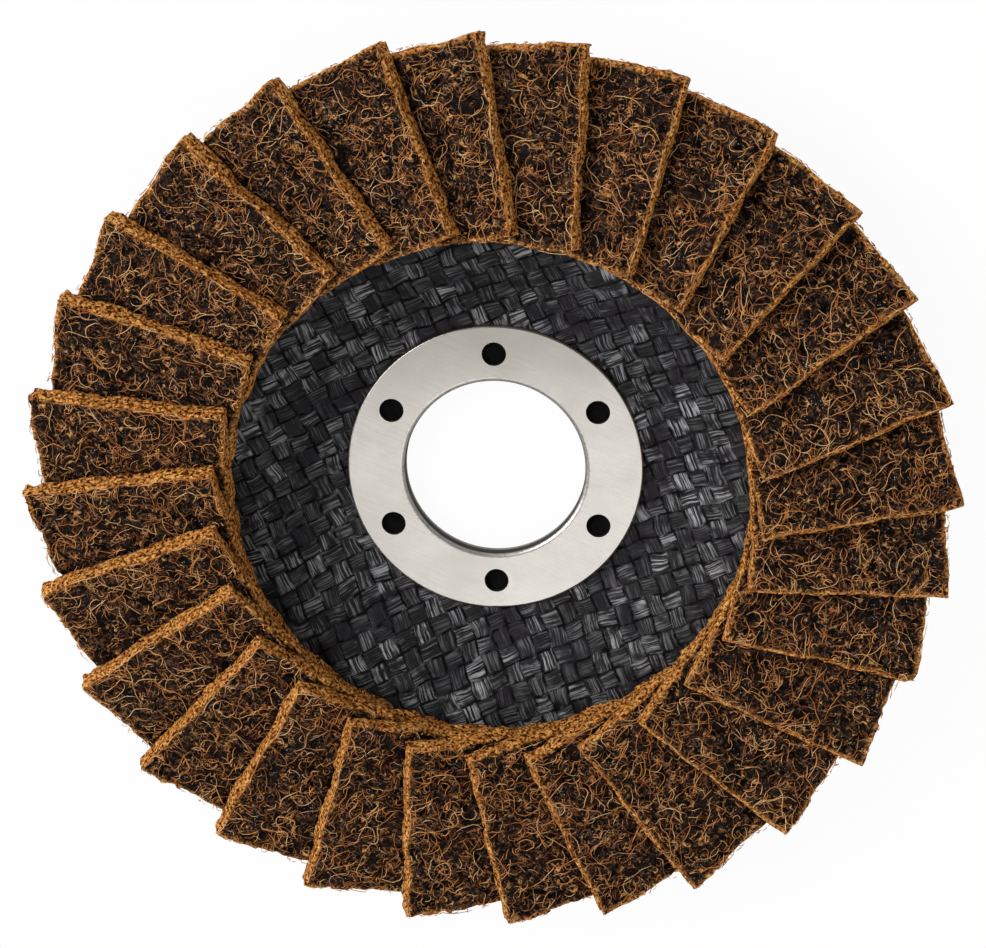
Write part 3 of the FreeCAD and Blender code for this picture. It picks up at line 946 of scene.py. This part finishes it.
    def fibre(self, kind: FibreKind, chance: np.random.Generator) -> tuple[np.ndarray, ...]:
        """One fibre: a curly walk over a side of the flap, both ends of it in the mat.

        Args:
            kind: The kind of fibre.
            chance: Source of the walk.

        Returns:
            Points on the even flap in its own frame, the way out at each, and its height over the flap.
        """
        tall = self.thickness
        along = chance.uniform(self.inner, self.outer)
        if kind.side is Side.TOP:
            step = math.radians(self.step)
            edge = along * math.tan(step) - self.free / math.cos(step)
            share = chance.uniform() ** 1.35
            start = np.array([along, -self.free + share * (edge + 0.6 + self.free)])
        elif kind.side is Side.FREE:
            start = np.array([along, chance.uniform(0.1, 1.0) * tall])
        else:
            last = 8.0 if kind.side is Side.INNER else 6.0
            start = np.array([chance.uniform(-self.free, last), chance.uniform(0.1, 1.0) * tall])
        heading = chance.uniform(0, 2 * math.pi)
        bend = chance.normal(0, kind.curl)
        walk = [start]
        for _ in range(kind.points - 1):
            bend = 0.75 * bend + chance.normal(0, kind.curl * 0.6)
            heading += bend * kind.step
            walk.append(walk[-1] + kind.step * np.array([math.cos(heading), math.sin(heading)]))
        walk = np.array(walk)
        share = np.linspace(0, 1, kind.points)
        rise = chance.uniform(0.0, 1.0) * kind.rise * np.sin(math.pi * share) ** 0.6
        height = rise + chance.normal(0, 0.03, kind.points)
        if kind.side is Side.TOP:
            first = np.clip(walk[:, 0], self.inner + 0.1, self.outer + 0.1)
            second = np.clip(walk[:, 1], -self.free + 1.0, None)
        else:
            near, far = (self.inner, self.outer) if kind.side is Side.FREE else (-self.free + 0.9, self.root)
            first = np.clip(walk[:, 0], near + 0.2, far - 0.2)
            second = np.clip(walk[:, 1] / tall, 0.14, 0.96)
            height -= 0.10
        points, out = self.surface(kind.side, first, second)
        return points, out, height

    @staticmethod
    def section() -> bpy.types.Object:
        """Section of a fibre: three-sided, a millimetre across."""
        line = bpy.data.curves.new("fibre_section", "CURVE")
        spline = line.splines.new("POLY")
        spline.points.add(2)
        angles = (math.radians(90.0 + 120.0 * corner) for corner in range(3))
        corners = [(0.6 * MM * math.cos(angle), 0.6 * MM * math.sin(angle), 0.0, 1.0) for angle in angles]
        spline.points.foreach_set("co", np.ravel(corners))
        spline.use_cyclic_u = True
        return linked(line.name, line)

    def fibres(self, number: int, shift: float) -> bpy.types.Object:
        """All the fibres of one flap, as thin closed tubes."""
        chance = np.random.default_rng(self.seed * 100 + number)
        kinds = [kind for kind in self.kinds for _ in range(kind.count)]
        parts = [self.fibre(kind, chance) for kind in kinds]
        even, out, height = (np.concatenate([part[column] for part in parts]) for column in range(3))
        height = height + 0.85 * self.roughness(even, shift)[0] + 0.02
        points = self.place(self.settled(even, shift) + out * height[:, None], number)
        line = bpy.data.curves.new(f"flap_fibres_{number + 1:02d}", "CURVE")
        line.dimensions = "3D"
        line.bevel_mode = "OBJECT"
        line.bevel_object = self.section()
        tones, start = [], 0
        for kind in kinds:
            spline = line.splines.new("POLY")
            spline.points.add(kind.points - 1)
            run = points[start:start + kind.points]
            start += kind.points
            spline.points.foreach_set("co", np.c_[run, np.ones(kind.points)].ravel())
            share = np.linspace(-1, 1, kind.points)
            width = kind.thickness * chance.uniform(0.75, 1.25) * (1.0 - 0.5 * share ** 4)
            spline.points.foreach_set("radius", width)
            tones += [chance.uniform(kind.tone_low, kind.tone_high)] * kind.points
        mesh = finished_mesh(linked(line.name, line))
        bpy.data.objects.remove(line.bevel_object)
        shape = bmesh.new()
        shape.from_mesh(mesh)
        bmesh.ops.holes_fill(shape, edges=shape.edges, sides=3)
        bmesh.ops.recalc_face_normals(shape, faces=shape.faces)
        shape.to_mesh(mesh)
        shape.free()
        tree = KDTree(len(points))
        for index, point in enumerate(points):
            tree.insert(point, index)
        tree.balance()
        nearest = [tones[tree.find(vertex.co)[1]] for vertex in mesh.vertices]
        mesh.attributes.new("tone", "FLOAT", "POINT").data.foreach_set("value", nearest)
        mesh.attributes.new("cut", "FLOAT", "POINT").data.foreach_set("value", np.zeros(len(mesh.vertices)))
        mesh.shade_smooth()
        return bpy.data.objects.new(line.name, mesh)

    def build(self, node: bpy.types.Object, mat: Material, hair: Material) -> list[bpy.types.Object]:
        """Build every flap.

        Args:
            node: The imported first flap.
            mat: Finish of the mats.
            hair: Finish of the fibres.

        Returns:
            One piece for each flap, in order.
        """
        blank = self.blank(node)
        pieces = []
        for number in range(self.count):
            shift = 13.7 * number
            pad, tuft = self.body(blank, number, shift), self.fibres(number, shift)
            for piece, finish in ((pad, mat), (tuft, hair)):
                piece.data.materials.clear()
                piece.data.materials.append(finish)
                bpy.context.scene.collection.objects.link(piece)
            chosen = {"active_object": pad, "object": pad, "selected_editable_objects": [pad, tuft]}
            with bpy.context.temp_override(**chosen):
                bpy.ops.object.join()
            pieces.append(pad)
        bpy.data.meshes.remove(blank)
        return pieces


# Studio


@dataclass(frozen=True)
class Panel:
    """A square soft light that faces the disc: its place and side in metres, and its power in watts."""

    name: str
    place: tuple[float, float, float]
    size: float
    power: float


@dataclass
class Studio:
    """Camera at the photograph's angle, pale floor, and soft light from above and the upper left."""

    ring_face: float = 3.45
    away: float = 495.0
    tilt: float = 18.77
    lean: float = 12.9
    shift_x: float = 0.27
    shift_y: float = 0.70
    scale: float = 8.108
    frame_width: float = 986.0
    sensor: float = 36.0
    world_light: float = 0.38
    ceiling: float = 0.20
    horizon: float = 0.15
    overhead: float = 0.80
    floor_size: float = 3.0
    floor_glow: float = 0.96
    floor_colour: Colour = (0.90, 0.90, 0.90)
    white: Colour = (1.0, 1.0, 1.0)
    panels: tuple[Panel, ...] = (
        Panel("key", (-0.62, 0.34, 0.66), 0.45, 6.4),
        Panel("overhead", (0.05, -0.55, 1.0), 0.6, 2.6),
    )

    def camera(self) -> None:
        """Look at the ring's face from the top of the disc, a little clockwise."""
        tilt, lean = math.radians(self.tilt), math.radians(self.lean)
        axis = Vector((0, 0, 1))
        aside = Vector((math.sin(lean), math.cos(lean), 0))
        toward = math.cos(tilt) * axis + math.sin(tilt) * aside
        rise = math.cos(tilt) * aside - math.sin(tilt) * axis
        across = rise.cross(toward)
        right = math.sin(lean) * rise + math.cos(lean) * across
        up = math.cos(lean) * rise - math.sin(lean) * across
        centre = self.ring_face * axis - self.shift_x * right - self.shift_y * up
        eye = (centre + self.away * toward) * MM
        data = bpy.data.cameras.new("view")
        data.sensor_width = self.sensor
        data.lens = self.scale * self.away / self.frame_width * self.sensor
        data.clip_start = 0.01
        data.clip_end = 20.0
        camera = linked("view", data)
        turn = Matrix((right, up, toward)).transposed().to_4x4()
        camera.matrix_world = Matrix.Translation(eye) @ turn
        bpy.context.scene.camera = camera

    @staticmethod
    def hang(panel: Panel) -> None:
        """Hang a soft light."""
        data = bpy.data.lights.new(panel.name, "AREA")
        data.size = panel.size
        data.energy = panel.power
        light = linked(panel.name, data)
        light.location = panel.place
        light.rotation_euler = Vector(panel.place).to_track_quat("Z", "Y").to_euler()

    def backdrop(self) -> None:
        """Lay the floor and set the world, both pale to the camera and in reflections."""
        shape = bmesh.new()
        bmesh.ops.create_grid(shape, x_segments=1, y_segments=1, size=self.floor_size)
        bmesh.ops.translate(shape, verts=shape.verts, vec=(0, 0, -0.05 * MM))
        mesh = bpy.data.meshes.new("floor")
        shape.to_mesh(mesh)
        shape.free()
        floor = linked("floor", mesh)
        material, desk, shader = new_material("floor")
        shader.inputs["Base Color"].default_value = rgba(self.floor_colour)
        shader.inputs["Roughness"].default_value = 0.9
        glow = desk.add("ShaderNodeEmission", {"Color": rgba(self.white), "Strength": 1.0})
        seen = desk.times(self.seen(desk), self.floor_glow)
        mixed = desk.add("ShaderNodeMixShader", {0: seen, 1: shader.outputs[0], 2: glow.outputs[0]})
        output = material.node_tree.nodes["Material Output"]
        desk.feed(output.inputs["Surface"], mixed.outputs[0])
        mesh.materials.append(material)
        world = bpy.data.worlds.new("studio")
        world.use_nodes = True
        bpy.context.scene.world = world
        desk = NodeDesk(world.node_tree)
        sky = world.node_tree.nodes["Background"]
        sky.inputs["Color"].default_value = rgba(self.white)
        way = desk.add("ShaderNodeTexCoord").outputs["Generated"]
        up = desk.add("ShaderNodeSeparateXYZ", {"Vector": way}).outputs[2]
        mirrored = desk.add("ShaderNodeLightPath").outputs["Is Glossy Ray"]
        shade = desk.times(mirrored, desk.ease(up, self.horizon, self.overhead))
        shown = desk.blend(shade, 1.0, self.ceiling)
        desk.feed(sky.inputs["Strength"], desk.blend(self.seen(desk), self.world_light, shown))

    @staticmethod
    def seen(desk: NodeDesk) -> Socket:
        """1 for what the camera sees, directly, mirrored or through glass, and 0 for the light it gives."""
        path = desk.add("ShaderNodeLightPath").outputs
        seen = desk.math("MAXIMUM", path["Is Camera Ray"], path["Is Transmission Ray"])
        return desk.math("MAXIMUM", seen, path["Is Glossy Ray"])

    def build(self) -> None:
        """Set up the whole studio."""
        bpy.context.scene.view_settings.view_transform = "Standard"
        self.camera()
        self.backdrop()
        for panel in self.panels:
            self.hang(panel)


@dataclass
class FlapDisc:
    """The whole disc: packed rigid parts with their finishes, and the pieces made here."""

    nodes: dict
    effects: Effects = field(default_factory=Effects)

    def dress(self, node: str, finish: Material) -> None:
        """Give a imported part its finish."""
        part = self.nodes[node]
        part.data.materials.clear()
        part.data.materials.append(finish)
        LOG.info("dressed %s with %s", node, finish.name)

    def stand_in(self, piece: bpy.types.Object, node: str) -> None:
        """Let a piece stand for a packed one."""
        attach(piece, "root")
        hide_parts(node)
        LOG.info("built %s for %s: %d faces", piece.name, node, len(piece.data.polygons))

    def build(self) -> None:
        """Dress and build every piece."""
        self.dress("centre_ring", SteelFinish().build())
        self.dress("backing_plate", PlateFinish().build(self.effects))
        self.dress("adhesive_bed", AdhesiveFinish().build())
        cloth = FaceCloth().build()
        cloth.data.materials.append(ClothFinish().build(self.effects))
        self.stand_in(cloth, "face_cloth")
        mat, hair = MatFinish().build(self.effects), FibreFinish().build()
        flaps = FlapRing().build(self.nodes["flap_01"], mat, hair)
        for number, flap in enumerate(flaps, start=1):
            self.stand_in(flap, f"flap_{number:02d}")


def main() -> None:
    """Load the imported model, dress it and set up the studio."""
    logging.basicConfig(level=logging.INFO, format="%(message)s")
    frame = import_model()
    FlapDisc(frame["nodes"]).build()
    Studio().build()
    bpy.context.view_layer.update()


if __name__ == "__main__":
    main()
